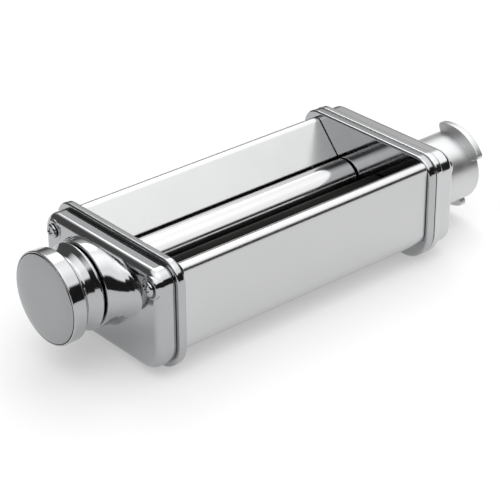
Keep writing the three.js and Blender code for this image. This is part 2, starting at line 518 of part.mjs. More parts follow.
// ---------------------------------------------------------------- knob, its spring and its pin
{
  const front = (depth) => KNOB_FRONT + depth;
  const profile = [[front(0.2), 0], [front(0.2), KNOB_R - 0.4], [front(0.6), KNOB_R],
    [front(6.7), KNOB_R - 0.2], [front(7.7), KNOB_R - 0.8],
    [front(8.2), KNOB_R - 2.3], [front(9.1), KNOB_NECK_R + 0.9], [front(10.5), KNOB_NECK_R],
    [front(12.1), KNOB_NECK_R + 0.4], [front(14.1), KNOB_NECK_R + 1.8], [front(15.9), KNOB_RING_R - 0.7],
    [front(17.1), KNOB_RING_R], [KNOB_BACK - 0.7, KNOB_RING_R], [KNOB_BACK, KNOB_RING_R - 0.7],
    [KNOB_BACK, 0]];
  add('knob', cut(turned(profile, 0, KNOB_Z, 44),
    rod(KNOB_FRONT - 1, front(1), KNOB_FACE_R + GAP, 0, KNOB_Z, 44),
    rod(KNOB_FRONT, SPRING_FLOOR, 8, 0, KNOB_Z, 24),
    squareBar(SPRING_FLOOR - 1, KNOB_BACK + 1, SHAFT_SQUARE),
    rod(KNOB_BACK - 4, KNOB_BACK + 1, PIN_R - 0.2 + GAP, DETENT_R, KNOB_Z, 12)), CHROME);
  add('knob_face', turned([[front(-0.7), 0], [front(-0.7), KNOB_FACE_R - 1.6],
    [front(-0.4), KNOB_FACE_R - 0.5], [front(0.2), KNOB_FACE_R], [front(0.7), KNOB_FACE_R],
    [front(0.7), 0]], 0, KNOB_Z, 44), CHROME);
  add('locating_pin', turned([[KNOB_BACK - 3.7, 0], [KNOB_BACK - 3.7, PIN_R - 0.2], [KNOB_BACK, PIN_R - 0.2],
    [KNOB_BACK + 0.1, 1.0], [KNOB_BACK + 0.1, 0]], DETENT_R, KNOB_Z, 12), DARK_STEEL);
  add('knob_washer',
    ring(WASHER_FRONT, WASHER_BACK, 6.4, SHAFT_SQUARE / 2 * Math.SQRT2, 0, KNOB_Z, 20), DARK_STEEL);
}

class Helix extends THREE.Curve {
  constructor(x0, x1, r, turns) { super(); Object.assign(this, { x0, x1, r, turns }); }
  getPoint(t, target = new THREE.Vector3()) {
    const a = 2 * Math.PI * this.turns * t;
    return target.set(this.x0 + (this.x1 - this.x0) * t, this.r * Math.cos(a), KNOB_Z + this.r * Math.sin(a));
  }
}
{
  const wire = new THREE.Shape();
  wire.absarc(0, 0, 0.45, 0, 2 * Math.PI, false);
  const coil = new THREE.ExtrudeGeometry(wire, {
    steps: 44, curveSegments: 3, bevelEnabled: false,
    extrudePath: new Helix(WASHER_BACK + 0.8, SPRING_FLOOR - 0.8, 5.4, 3.5),
  });
  add('knob_spring', toSolid(coil), SPRING_STEEL);
}

export default machine;
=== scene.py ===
"""Pasta roller machine, visual model.

Metres, in the CAD frame: X runs along the rollers (knob at -X, drive collar at +X), -Y is the
front and Z is up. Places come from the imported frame; the sizes below are the ones that the
boxes of its nodes do not give.
"""
import json
import math

import bmesh
import bpy
from mathutils import Matrix, Vector

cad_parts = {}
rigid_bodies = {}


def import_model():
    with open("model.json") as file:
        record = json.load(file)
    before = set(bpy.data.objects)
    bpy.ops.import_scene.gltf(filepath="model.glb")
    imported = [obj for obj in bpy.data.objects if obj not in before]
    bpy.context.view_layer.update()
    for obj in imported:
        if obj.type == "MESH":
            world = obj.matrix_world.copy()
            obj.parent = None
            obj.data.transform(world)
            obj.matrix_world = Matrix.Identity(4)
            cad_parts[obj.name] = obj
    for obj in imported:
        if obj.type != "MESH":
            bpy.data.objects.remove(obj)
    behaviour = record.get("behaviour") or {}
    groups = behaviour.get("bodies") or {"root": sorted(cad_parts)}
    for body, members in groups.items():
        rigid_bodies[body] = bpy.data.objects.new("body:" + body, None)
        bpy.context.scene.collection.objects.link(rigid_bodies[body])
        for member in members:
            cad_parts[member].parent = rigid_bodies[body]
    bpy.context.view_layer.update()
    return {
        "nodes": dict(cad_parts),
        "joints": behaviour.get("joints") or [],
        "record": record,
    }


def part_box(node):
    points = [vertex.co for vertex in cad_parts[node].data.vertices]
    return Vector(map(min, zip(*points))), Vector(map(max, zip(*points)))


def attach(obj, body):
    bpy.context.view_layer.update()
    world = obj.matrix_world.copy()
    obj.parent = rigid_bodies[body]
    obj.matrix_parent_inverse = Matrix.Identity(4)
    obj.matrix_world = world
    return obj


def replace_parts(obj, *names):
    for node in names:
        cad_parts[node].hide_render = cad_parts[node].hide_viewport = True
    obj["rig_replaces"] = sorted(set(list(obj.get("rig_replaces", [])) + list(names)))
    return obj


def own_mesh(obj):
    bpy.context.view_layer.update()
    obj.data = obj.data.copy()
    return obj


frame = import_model()

MM = 0.001
PI = math.pi

# ------------------------------------------------------------------ sizes
GAP = 0.3 * MM                     # clearance between neighbouring pieces
PAST = 1 * MM                      # how far a cutting tool reaches past the face that it opens

PLATE_CORNER = 10 * MM             # radius of the end plates' upper corners
PLATE_FOOT = 16 * MM               # radius of the end plates' lower corners
PLATE_EDGE = 1.1 * MM              # rounding of the end plates' rims
NUT_BORE_R = 2.6 * MM
PIN_BORE_R = 1.9 * MM

CAP_CORNERS = (8 * MM, 14 * MM)    # upper and lower corner radii of the left cap
CAP_INSET = 2.5 * MM               # how far the left cap stands back from its plate's outline
CAP_WALL = 1.8 * MM
CAP_EDGE = 4 * MM                  # rounding round the left cap's face
CAP_DEPTH = 8.7 * MM               # from the left cap's open back to its flat face

COVER_CORNERS = (10 * MM, 12 * MM)     # upper and lower corner radii of the gear cover
COVER_INSET = 1.7 * MM             # how far the gear cover stands back from its plate's outline
COVER_BOTTOM = 3.5 * MM            # and how far at the bottom
COVER_EDGE = 3.2 * MM
COVER_DEPTH = 13.4 * MM            # from the gear cover's open back to its flat face
RIM_DEPTH = 4.1 * MM               # thickness of the gear cover's rim
RIM_INNER_EDGE = 0.7 * MM

PAD_R = 5.4 * MM                   # the raised pads under the screw heads
PAD_T = 0.5 * MM
PAD_ROOT = 3 * MM                  # how deep a screw pad starts under the cap's face
PILLAR_R = 4.4 * MM
SCREW_HOLE_R = 1.9 * MM
HEAD_R = 3.4 * MM
HEAD_T = 1.7 * MM
SHANK_R = 1.6 * MM
CROSS_HALF_LENGTH = 1.95 * MM      # the cross recess of the screw heads
CROSS_HALF_WIDTH = 0.42 * MM
CROSS_DEPTH = 1.1 * MM
CROSS_CONE = [(-1, 0), (-1, 1.25), (0.7, 0.9), (1.2, 0)]     # depth and radius in mm

BOSS_NOSE_R = 20.2 * MM
BOSS_BASE_R = 22.5 * MM
BOSS_WING = 7.5 * MM               # how far the boss's base reaches out to the front and the rear
BOSS_TOP = 12.5 * MM               # how far the boss's base reaches above the knob axis
BOSS_BORE_R = 5.7 * MM
SHOULDER = 14                      # the higher, the tighter the boss's shoulder
DETENT_R = 11.5 * MM               # circle of the setting holes in the boss's face
DETENT_HOLE_R = 1.5 * MM
DETENT_HOLE_DEPTH = 4 * MM
DETENT_COUNT = 10
DETENT_STEP = math.radians(30)

COLLAR_R = 17.6 * MM
COLLAR_FOOT = 0.9 * MM             # where the collar's turned finish starts, past the cover's face
COLLAR_BORE_R = 14.6 * MM
BEARING_BORE_R = 6.7 * MM
BEARING_LENGTH = 3.4 * MM          # drive bearing, past the cover's face
LUG_T = 3.7 * MM
LUG_CORNER = 1.8 * MM              # rounding of the lugs' outer corners
LUG_EDGE = 0.5 * MM
LUGS = [(68, 152, 22.5 * MM), (240, 312, 21 * MM)]   # start and end in degrees, outer radius

# Depths in the knob, from its front.
DISC_SEAT = 1 * MM                 # bottom of the recess that holds the face disc
SPRING_FLOOR = 11.1 * MM           # bottom of the spring's pocket
SQUARE_START = 10 * MM
KNOB_NECK_R = 16.4 * MM
KNOB_RING_R = 20.2 * MM
KNOB_POCKET_R = 8 * MM
RING_GROOVE = 1.4 * MM             # width and depth of the groove between the ring and the boss
PIN_HOLE_R = 1.6 * MM
PIN_HOLE_DEPTH = 4 * MM
DISC_CROWN = 0.75 * MM             # how far the knob's disc falls away towards its rim
WIRE_R = 0.4 * MM                  # the knob spring's wire
SPRING_TURNS = 3.5
SPRING_FLAT_TURNS = 0.6            # at each end
SHAFT_SQUARE = 5 * MM

SHEET_T = 1 * MM
SHEET_BEND_R = 8.5 * MM
SHEET_ROLL_R = 3.5 * MM            # rolled top edges, outside
SHEET_LIP = (19.2 * MM, 36.6 * MM)     # free edge of both feed slopes, distance out and height
LIP_EXTRA = 0.5 * MM               # the rear lip reaches this much further towards its roller
SHEET_FOOT_Y = 27 * MM             # free edge of both bottom lips

JOURNAL_R = 4 * MM
ROLLER_EDGE = 0.5 * MM
ROLLER_INSET = 0.5 * MM            # from the sheets' ends to the drums' ends
SOCKET_R = 5.2 * MM                # across the corners of the drive socket, halved

# ------------------------------------------------------------------ meshes


def fillet(points, radius, steps=6):
    """The open line through the points, with each inner corner rounded to at most the radius."""
    out = [points[0]]
    for before, corner, after in zip(points, points[1:], points[2:]):
        p, c, n = Vector(before), Vector(corner), Vector(after)
        a, b = (p - c), (n - c)
        turn = PI - a.angle(b)
        if turn < 1e-3:
            out.append(corner)
            continue
        reach = min(radius * math.tan(turn / 2), 0.48 * a.length, 0.48 * b.length)
        start, end = c + a.normalized() * reach, c + b.normalized() * reach
        for i in range(steps + 1):
            t = i / steps
            q = start * (1 - t) ** 2 + c * 2 * t * (1 - t) + end * t ** 2
            out.append(tuple(q))
    out.append(points[-1])
    return out


def densify(points, step):
    """The line with extra points, so that no stretch is longer than the step."""
    out = [points[0]]
    for a, b in zip(points, points[1:]):
        n = max(1, math.ceil((Vector(b) - Vector(a)).length / step))
        out += [tuple(Vector(a).lerp(Vector(b), i / n)) for i in range(1, n + 1)]
    return out


def turned(profile, y, z, segments=128, shape=None):
    """A shape turned about an axis along X through (y, z). The profile is a list of (x, radius)
    that starts and ends on the axis, or closes on itself. `shape` may change a radius by its
    place: it is called with x, radius and angle."""
    verts, faces, rings = [], [], []
    for x, r in profile:
        if r < 1e-7:
            rings.append([len(verts)] * segments)
            verts.append((x, y, z))
            continue
        rings.append(list(range(len(verts), len(verts) + segments)))
        for k in range(segments):
            a = 2 * PI * k / segments
            q = shape(x, r, a) if shape else r
            verts.append((x, y + q * math.cos(a), z + q * math.sin(a)))
    for one, two in zip(rings, rings[1:]):
        for k in range(segments):
            j = (k + 1) % segments
            face = []
            for v in (one[k], one[j], two[j], two[k]):
                if v not in face:
                    face.append(v)
            if len(face) > 2:
                faces.append(face)
    return verts, faces


def lofted(sections):
    """A closed solid through a list of (x, outline), capped at both ends."""
    n = len(sections[0][1])
    verts = [(x, y, z) for x, line in sections for y, z in line]
    faces = [list(range(n))[::-1], [len(verts) - n + k for k in range(n)]]
    for i in range(len(sections) - 1):
        for k in range(n):
            j = (k + 1) % n
            faces.append([i * n + k, i * n + j, (i + 1) * n + j, (i + 1) * n + k])
    return verts, faces


def rounded_rect(y0, y1, z0, z1, top, foot, steps=14):
    """A rectangle whose upper corners have the radius `top` and its lower ones `foot`."""
    line = []
    for cy, cz, r, start in ((y1 - foot, z0 + foot, foot, -90), (y1 - top, z1 - top, top, 0),
                             (y0 + top, z1 - top, top, 90), (y0 + foot, z0 + foot, foot, 180)):
        for i in range(steps + 1):
            a = math.radians(start + 90 * i / steps)
            line.append((cy + r * math.cos(a), cz + r * math.sin(a)))
    return line


def rim(x_edge, x_flat, outline, edge, steps=6):
    """Sections that round the rim of a slab: from the full outline at x_edge to the outline set
    in by the edge radius at x_flat. `outline` is called with the inset."""
    out = []
    for i in range(steps + 1):
        a = PI / 2 * i / steps
        out.append((x_edge + (x_flat - x_edge) * math.sin(a), outline(edge * (1 - math.cos(a)))))
    return out


def slab(x0, x1, outline, edge0, edge1):
    """A slab with rounded rims at both ends."""
    back = rim(x0 + edge0, x0, outline, edge0)[::-1]
    return lofted(back + rim(x1 - edge1, x1, outline, edge1))


def make(name, geometry):
    verts, faces = geometry
    mesh = bpy.data.meshes.new(name)
    mesh.from_pydata(verts, [], faces)
    obj = bpy.data.objects.new(name, mesh)
    bpy.context.scene.collection.objects.link(obj)
    tidy_mesh(obj)
    return obj


def tidy_mesh(obj):
    bm = bmesh.new()
    bm.from_mesh(obj.data)
    bmesh.ops.remove_doubles(bm, verts=bm.verts, dist=1e-7)
    bmesh.ops.recalc_face_normals(bm, faces=bm.faces)
    bm.to_mesh(obj.data)
    bm.free()


def combine(obj, operation, geometries):
    """Joins solids to an object, or cuts them from it."""
    tools = [make(f"{obj.name}_tool_{i}", g) for i, g in enumerate(geometries)]
    for tool in tools:
        mod = obj.modifiers.new("solid", "BOOLEAN")
        mod.operation = operation
        mod.solver = "EXACT"
        mod.object = tool
    bpy.context.view_layer.update()
    shape = obj.evaluated_get(bpy.context.evaluated_depsgraph_get())
    mesh = bpy.data.meshes.new_from_object(shape)
    obj.modifiers.clear()
    obj.data = mesh
    for tool in tools:
        bpy.data.objects.remove(tool)


def take_mesh(obj):
    """The vertices and faces of a helper object, which is then removed."""
    geometry = ([tuple(v.co) for v in obj.data.vertices], [list(p.vertices) for p in obj.data.polygons])
    bpy.data.objects.remove(obj)
    return geometry


def finish_piece(obj, body, material, replaced=(), sharp=28):
    """Smooth shading with crisp creases, then the finish and the body that the piece rides on."""
    mesh = obj.data
    mesh.polygons.foreach_set("use_smooth", [True] * len(mesh.polygons))
    mesh.set_sharp_from_angle(angle=math.radians(sharp))
    mesh.materials.clear()
    mesh.materials.append(material)
    weighted = obj.modifiers.new("flat faces stay flat", "WEIGHTED_NORMAL")
    weighted.keep_sharp = True
    weighted.weight = 100
    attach(obj, body)
    if replaced:
        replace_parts(obj, *replaced)


def rod(x0, x1, r, y, z, segments=48):
    return turned([(x0, 0), (x0, r), (x1, r), (x1, 0)], y, z, segments)


def block(x0, x1, y0, y1, z0, z1):
    return lofted([(x, [(y0, z0), (y1, z0), (y1, z1), (y0, z1)]) for x in (x0, x1)])


def coil(x0, x1, y, z, r, wire_r, turns, flat_turns, steps=40, segments=12):
    """A coil spring about an axis along X, with flat turns at both ends."""
    verts, faces = [], []
    count = round(turns * steps)
    for i in range(count + 1):
        done = (i / steps - flat_turns) / (turns - 2 * flat_turns)
        x = x0 + (x1 - x0) * min(1, max(0, done))
        a = 2 * PI * i / steps
        for k in range(segments):
            b = 2 * PI * k / segments
            q = r + wire_r * math.cos(b)
            verts.append((x + wire_r * math.sin(b), y + q * math.cos(a), z + q * math.sin(a)))
    for i in range(count):
        for k in range(segments):
            j = (k + 1) % segments
            faces.append([i * segments + k, i * segments + j, (i + 1) * segments + j,
                          (i + 1) * segments + k])
    faces += [list(range(segments)), list(range(count * segments, (count + 1) * segments))]
    return verts, faces


def centre(node):
    lo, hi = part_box(node)
    return (lo + hi) / 2


def travel(joint):
    """The far limit of a sliding joint, in metres."""
    return next(j for j in frame["joints"] if j["name"] == joint)["range_m"][1]


# ------------------------------------------------------------------ materials


class Graph:
    """Short calls for building a node tree."""

    def __init__(self, tree):
        self.tree = tree
        tree.nodes.clear()

    def node(self, kind, **inputs):
        n = self.tree.nodes.new("ShaderNode" + kind)
        for key, value in inputs.items():
            name = key.replace("_", " ")
            if name in n.inputs:
                self.put(value, n.inputs[name])
            else:
                setattr(n, key, value)
        return n

    def put(self, value, socket):
        if isinstance(value, bpy.types.NodeSocket):
            self.tree.links.new(value, socket)
        else:
            socket.default_value = value

    def maths(self, operation, a, b=0.0, clamp=False):
        n = self.tree.nodes.new("ShaderNodeMath")
        n.operation = operation
        n.use_clamp = clamp
        self.put(a, n.inputs[0])
        self.put(b, n.inputs[1])
        return n.outputs[0]

    def span(self, value, from_lo, from_hi, to_lo, to_hi):
        n = self.tree.nodes.new("ShaderNodeMapRange")
        for i, v in enumerate((value, from_lo, from_hi, to_lo, to_hi)):
            self.put(v, n.inputs[i])
        return n.outputs[0]

    def mix(self, factor, a, b):
        n = self.tree.nodes.new("ShaderNodeMix")
        n.data_type = "RGBA"
        self.put(factor, n.inputs[0])
        self.put(a, n.inputs[6])
        self.put(b, n.inputs[7])
        return n.outputs[2]

    def place(self, stretch=(1, 1, 1)):
        coords = self.node("TexCoord").outputs["Object"]
        return self.node("Mapping", Vector=coords, Scale=stretch).outputs[0]

    def noise(self, scale, detail=3.0, stretch=(1, 1, 1), distortion=0.0):
        n = self.node("TexNoise", Vector=self.place(stretch), Scale=scale, Detail=detail,
                      Distortion=distortion)
        return n.outputs[0]


def shades(colour, spread):
    dark = tuple(max(0, c * (1 - spread)) for c in colour) + (1,)
    light = tuple(min(1, c * (1 + spread)) for c in colour) + (1,)
    return dark, light


def surface(name, colour, spread, metallic, rough, rough_spread, grain, grain_depth, edge_colour,
            edge_rough, blotch=22.0, specular=0.5):
    """A worn surface: cloudy colour, smudged roughness, a directional grain and brighter edges.
    `grain` is the stretch of the grain's noise along X, Y and Z, in cycles per metre."""
    material = bpy.data.materials.new(name)
    material.use_nodes = True
    g = Graph(material.node_tree)
    cloud = g.span(g.noise(blotch, 4, distortion=0.6), 0.3, 0.7, 0, 1)
    smudge = g.span(g.noise(95, 6, distortion=0.3), 0.25, 0.75, 0, 1)
    lines = g.noise(1, 3, stretch=grain)
    scratch = g.span(lines, 0.62, 0.74, 0, 1)
    soft = g.node("Bevel", Radius=0.45 * MM)
    normal = g.node("NewGeometry").outputs["Normal"]
    dot = g.node("VectorMath", operation="DOT_PRODUCT")
    g.put(soft.outputs[0], dot.inputs[0])
    g.put(normal, dot.inputs[1])
    edge = g.span(dot.outputs["Value"], 0.995, 0.86, 0, 1)
    worn = g.maths("MULTIPLY", edge, g.span(g.noise(260, 4), 0.38, 0.62, 0.25, 1))
    dark, light = shades(colour, spread)
    body = g.mix(cloud, dark, light)
    body = g.mix(g.maths("MULTIPLY", scratch, 0.18), body, light)
    paint = g.mix(g.maths("MULTIPLY", worn, 0.6), body, tuple(edge_colour) + (1,))
    level = g.span(smudge, 0, 1, rough - rough_spread, rough + rough_spread)
    level = g.maths("ADD", level, g.maths("MULTIPLY", scratch, rough_spread))
    level = g.maths("ADD", level, g.maths("MULTIPLY", worn, edge_rough), clamp=True)
    bump = g.node("Bump", Strength=1.0, Distance=grain_depth, Height=lines, Normal=soft.outputs[0])
    shader = g.node("BsdfPrincipled", Metallic=metallic, Roughness=level)
    shader.inputs["Specular IOR Level"].default_value = specular
    g.put(paint, shader.inputs["Base Color"])
    g.put(bump.outputs[0], shader.inputs["Normal"])
    out = g.node("OutputMaterial")
    g.put(shader.outputs[0], out.inputs["Surface"])
    return material


CHROME_RGB = (0.42, 0.424, 0.432)
MATERIALS = {
    "chrome_casting": surface("chrome_casting", CHROME_RGB, 0.03, 1.0, 0.085, 0.025,
                              (60, 60, 60), 2e-6, (0.72, 0.72, 0.72), 0.05),
    "sheet_steel": surface("sheet_steel", (0.55, 0.552, 0.555), 0.012, 1.0, 0.24, 0.012,
                           (14, 900, 900), 1.2e-6, (0.78, 0.78, 0.78), 0.06),
    "roller_steel": surface("roller_steel", (0.52, 0.52, 0.525), 0.025, 1.0, 0.12, 0.03,
                            (1600, 30, 30), 1.5e-6, (0.8, 0.8, 0.8), 0.06),
    "plated_steel": surface("plated_steel", (0.42, 0.43, 0.44), 0.16, 1.0, 0.34, 0.1,
                            (500, 500, 500), 8e-6, (0.62, 0.62, 0.6), 0.08, 160.0),
    "bush_bronze": surface("bush_bronze", (0.56, 0.39, 0.17), 0.18, 1.0, 0.32, 0.08,
                           (900, 120, 120), 6e-6, (0.75, 0.58, 0.3), 0.05, 120.0),
    "scraper_nylon": surface("scraper_nylon", (0.78, 0.77, 0.72), 0.06, 0.0, 0.5, 0.08,
                             (30, 500, 500), 1e-5, (0.85, 0.84, 0.8), 0.05, 60.0),
    "spring_steel": surface("spring_steel", (0.5, 0.51, 0.52), 0.1, 1.0, 0.28, 0.06,
                            (600, 600, 600), 4e-6, (0.65, 0.65, 0.65), 0.06, 200.0),
}

# Finishes of single pieces. The front roller's near-black, dull one is painted shade: the roller is
# steel, and this dark colour stands for the shade that it lies in between the rollers.
PAINTED_SHADE_ROLLER = surface("painted_shade_roller", (0.006, 0.006, 0.005), 0.3, 0.0, 0.5, 0.08,
                       (1600, 30, 30), 1.5e-6, (0.02, 0.02, 0.018), 0.06, 22.0, 0.03)
PALE_CASTING = surface("pale_casting", (0.56, 0.563, 0.568), 0.02, 1.0, 0.12, 0.02,
                       (60, 60, 60), 2e-6, (0.78, 0.78, 0.78), 0.05)
TURNED_COLLAR = surface("turned_collar", (0.6, 0.603, 0.607), 0.03, 1.0, 0.36, 0.03,
                        (900, 40, 40), 3e-6, (0.8, 0.8, 0.8), 0.05)
SPUN_DISC = surface("spun_disc", (0.31, 0.314, 0.32), 0.03, 1.0, 0.13, 0.03,
                    (60, 700, 700), 1e-6, (0.6, 0.6, 0.6), 0.05)


def look(obj, body, slot, replaced=(), sharp=28, material=None):
    """Finishes a piece in its slot's material, unless it has one of its own."""
    finish_piece(obj, body, material or MATERIALS[slot], replaced, sharp)


# ------------------------------------------------------------------ end plates


def plate_outline(node):
    lo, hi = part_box(node)
    return lambda inset: rounded_rect(lo.y + inset, hi.y - inset, lo.z + inset, hi.z - inset,
                                      PLATE_CORNER - inset, PLATE_FOOT - inset)


def slot_outline(y0, y1, z, r, steps=16):
    """A slot with round ends, between two centres."""
    right = [(y1 + r * math.cos(a), z + r * math.sin(a))
             for a in (-PI / 2 + PI * i / steps for i in range(steps + 1))]
    left = [(y0 + r * math.cos(a), z + r * math.sin(a))
            for a in (PI / 2 + PI * i / steps for i in range(steps + 1))]
    return right + left


def end_plate(side):
    node = f"{side}_end_plate"
    lo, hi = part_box(node)
    plate = make(f"{side}_plate_body", slab(lo.x, hi.x, plate_outline(node), PLATE_EDGE, PLATE_EDGE))
    x0, x1 = lo.x - PAST, hi.x + PAST
    bush = centre("front_bush_left")
    journal = centre("rear_roller")
    slide = travel("carriage_slide")
    bar_lo, bar_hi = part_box("carriage_bar")
    fixed_lo, fixed_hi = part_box("front_scraper_bar")
    cutters = [
        rod(x0, x1, BEARING_BORE_R, bush.y, bush.z, 64),
        lofted([(x, slot_outline(journal.y - slide, journal.y, journal.z, JOURNAL_R + 0.5 * MM))
                for x in (x0, x1)]),
        block(x0, x1, bar_lo.y - slide - GAP, bar_hi.y + GAP, bar_lo.z - GAP, bar_hi.z + GAP),
        block(x0, x1, fixed_lo.y - GAP, fixed_hi.y + GAP, fixed_lo.z - GAP, fixed_hi.z + GAP),
    ]
    for where in ("front", "rear"):
        screw, nut = centre(f"left_cap_screw_{where}"), centre(f"{where}_tie_rod_nut_left")
        cutters.append(rod(x0, x1, SCREW_HOLE_R, screw.y, screw.z, 32))
        cutters.append(rod(x0, x1, NUT_BORE_R, nut.y, nut.z, 32))
    for where in ("upper", "lower"):
        pin = centre(f"guide_pin_left_{where}")
        cutters.append(rod(x0, x1, PIN_BORE_R, pin.y, pin.z, 32))
    combine(plate, "DIFFERENCE", cutters)
    look(plate, "frame", "chrome_casting", [node])


for side in ("left", "right"):
    end_plate(side)

# ------------------------------------------------------------------ sheets


def sheet_line(wall, top, bottom, depth, extra=0):
    """The line of a sheet seen from its end: bottom lip, bend, wall, rolled edge, feed slope."""
    roll = (wall - SHEET_ROLL_R, top - SHEET_ROLL_R)
    dy, dz = roll[0] - SHEET_LIP[0], roll[1] - SHEET_LIP[1]
    slope = math.atan2(dz, dy) + math.asin(SHEET_ROLL_R / math.hypot(dy, dz))
    line = [(SHEET_FOOT_Y, bottom + depth)]
    for cy, cz, r, start, end, steps in (
            (wall - SHEET_BEND_R, bottom + SHEET_BEND_R, SHEET_BEND_R - depth, 1.5 * PI, 2 * PI, 20),
            (*roll, SHEET_ROLL_R - depth, 0, PI / 2 + slope, 26)):
        for i in range(steps + 1):
            a = start + (end - start) * i / steps
            line.append((cy + r * math.cos(a), cz + r * math.sin(a)))
    line.append((SHEET_LIP[0] + depth * math.sin(slope) - extra * math.cos(slope),
                 SHEET_LIP[1] - depth * math.cos(slope) - extra * math.sin(slope)))
    return line


def sheet(side, sign):
    node = f"{side}_sheet"
    lo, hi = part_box(node)
    wall = max(abs(lo.y), abs(hi.y))
    extra = LIP_EXTRA if side == "rear" else 0
    outer = sheet_line(wall, hi.z, lo.z, 0, extra)
    inner = sheet_line(wall, hi.z, lo.z, SHEET_T, extra)
    n = len(outer)
    verts = [(x, sign * y, z) for x in (lo.x, hi.x) for line in (outer, inner) for y, z in line]
    faces = []
    for i in range(n - 1):
        faces.append([i, i + 1, 2 * n + i + 1, 2 * n + i])
        faces.append([n + i, n + i + 1, 3 * n + i + 1, 3 * n + i])
        faces += [[i, i + 1, n + i + 1, n + i], [2 * n + i, 2 * n + i + 1, 3 * n + i + 1, 3 * n + i]]
    for i in (0, n - 1):
        faces.append([i, n + i, 3 * n + i, 2 * n + i])
    skin = make(f"{side}_sheet_skin", (verts, faces))
    edge = skin.modifiers.new("softened edges", "BEVEL")
    edge.width = 0.25 * MM
    edge.segments = 3
    edge.limit_method = "ANGLE"
    edge.angle_limit = math.radians(40)
    look(skin, "frame", "sheet_steel", [node])


sheet("front", -1)
sheet("rear", 1)

# ------------------------------------------------------------------ end caps


def cap_outline(inset, bottom, corners):
    """The outline of a cap, as a function of how far it is drawn in."""
    lo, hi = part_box("left_end_plate")
    return lambda more: rounded_rect(
        lo.y + inset + more, hi.y - inset - more, lo.z + bottom + more, hi.z - inset - more,
        *(corner - more for corner in corners))


def shell(back, face, outline, edge):
    """A cap open at its back: a wall round the outline and a wall behind its face."""
    sign = 1 if face > back else -1
    inside = face - sign * CAP_WALL
    sections = [(inside, outline(CAP_WALL)), (back, outline(CAP_WALL)), (back, outline(0))]
    sections += rim(face - sign * edge, face, outline, edge, 10)
    return lofted(sections)


def screw_seats(cap, prefix, face, back, reach):
    """Pillars and raised pads for a cap's two screws. The pads stay inside the outline `reach`."""
    sign = 1 if face > back else -1
    pads, holes = [], []
    for where in ("front", "rear"):
        c = centre(f"{prefix}_screw_{where}")
        root = face - sign * PAD_ROOT
        pads.append(rod(back, face - sign * 1 * MM, PILLAR_R, c.y, c.z, 40))
        profile = fillet([(root, 0), (root, PAD_R), (face - sign * 0.2 * MM, PAD_R),
                          (face + sign * PAD_T, PAD_R - 0.7 * MM), (face + sign * PAD_T, 0)], 0.4 * MM)
        pad = make("pad", turned(profile, c.y, c.z, 72))
        combine(pad, "INTERSECT", [lofted([(x, reach(0.5 * MM)) for x in sorted(
            (face - sign * 2 * PAD_ROOT, face + sign * PAD_ROOT))])])
        pads.append(take_mesh(pad))
        holes.append(rod(min(face, back) - PAD_ROOT, max(face, back) + PAD_ROOT, SCREW_HOLE_R,
                         c.y, c.z, 32))
    combine(cap, "UNION", pads)
    return holes


KNOB_AXIS = centre("knob_face")
cap_lo, cap_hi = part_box("left_end_cap")
BOSS_FACE = cap_lo.x
CAP_BACK = cap_hi.x
CAP_FACE = CAP_BACK - CAP_DEPTH


def wing(x, r, angle):
    """The boss is round at its nose. Its base reaches out to the front and the rear, and its top
    comes down to the flat of the cap's face in a soft shoulder."""
    if r < BOSS_NOSE_R - 1 * MM:
        return r
    flare = min(1, (x - BOSS_FACE) / (CAP_FACE - BOSS_FACE)) ** 2
    reach = r + BOSS_WING * flare * abs(math.cos(angle)) ** 10
    rise = math.sin(angle)
    if rise < 0.1:
        return reach
    free = 1.2 * BOSS_NOSE_R
    limit = (free + (BOSS_TOP - free) * flare) / rise
    return (reach ** -SHOULDER + limit ** -SHOULDER) ** (-1 / SHOULDER)


def left_cap():
    outline = cap_outline(CAP_INSET, cap_lo.z, CAP_CORNERS)
    cap = make("left_cap_casting", shell(CAP_BACK, CAP_FACE, outline, CAP_EDGE))
    holes = screw_seats(cap, "left_cap", CAP_FACE, CAP_BACK, outline)
    inside = CAP_FACE + CAP_WALL
    profile = [(inside, 0), (inside, BOSS_BASE_R)] + densify(fillet(
        [(CAP_FACE + 0.6 * MM, BOSS_BASE_R + 0.3 * MM), (CAP_FACE - 1 * MM, BOSS_BASE_R - 0.9 * MM),
         (CAP_FACE - 2.5 * MM, BOSS_BASE_R - 1.5 * MM), (CAP_FACE - 5 * MM, BOSS_NOSE_R + 0.4 * MM),
         (BOSS_FACE, BOSS_NOSE_R - 0.1 * MM), (BOSS_FACE, 0.7 * BOSS_NOSE_R)], 0.8 * MM),
        0.5 * MM) + [(BOSS_FACE, 0)]
    combine(cap, "UNION", [turned(profile, KNOB_AXIS.y, KNOB_AXIS.z, 192, wing)])
    holes.append(rod(BOSS_FACE - PAST, inside + PAST, BOSS_BORE_R, KNOB_AXIS.y, KNOB_AXIS.z, 64))
    for i in range(DETENT_COUNT):
        a = i * DETENT_STEP
        y, z = KNOB_AXIS.y + DETENT_R * math.cos(a), KNOB_AXIS.z + DETENT_R * math.sin(a)
        holes.append(rod(BOSS_FACE - PAST, BOSS_FACE + DETENT_HOLE_DEPTH, DETENT_HOLE_R, y, z, 24))
    combine(cap, "DIFFERENCE", holes)
    look(cap, "frame", "chrome_casting", ["left_end_cap"], 24)


left_cap()

cover_lo, cover_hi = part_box("gear_cover")
COVER_BACK = cover_lo.x
COVER_FACE = COVER_BACK + COVER_DEPTH
DRIVE = centre("drive_bush")


def lug_outline(start, end, inner, outer, steps=60):
    """A part-round lug seen along its axis, with rounded outer corners."""
    line, arc = [], []
    for i in range(steps + 1):
        a = math.radians(start + (end - start) * i / steps)
        arc.append(a)
        near = min(a - math.radians(start), math.radians(end) - a) * outer
        drop = max(0, LUG_CORNER - near)
        r = outer - LUG_CORNER + math.sqrt(LUG_CORNER ** 2 - drop ** 2)
        line.append((DRIVE.y + r * math.cos(a), DRIVE.z + r * math.sin(a)))
    return line + [(DRIVE.y + inner * math.cos(a), DRIVE.z + inner * math.sin(a)) for a in arc[::-1]]


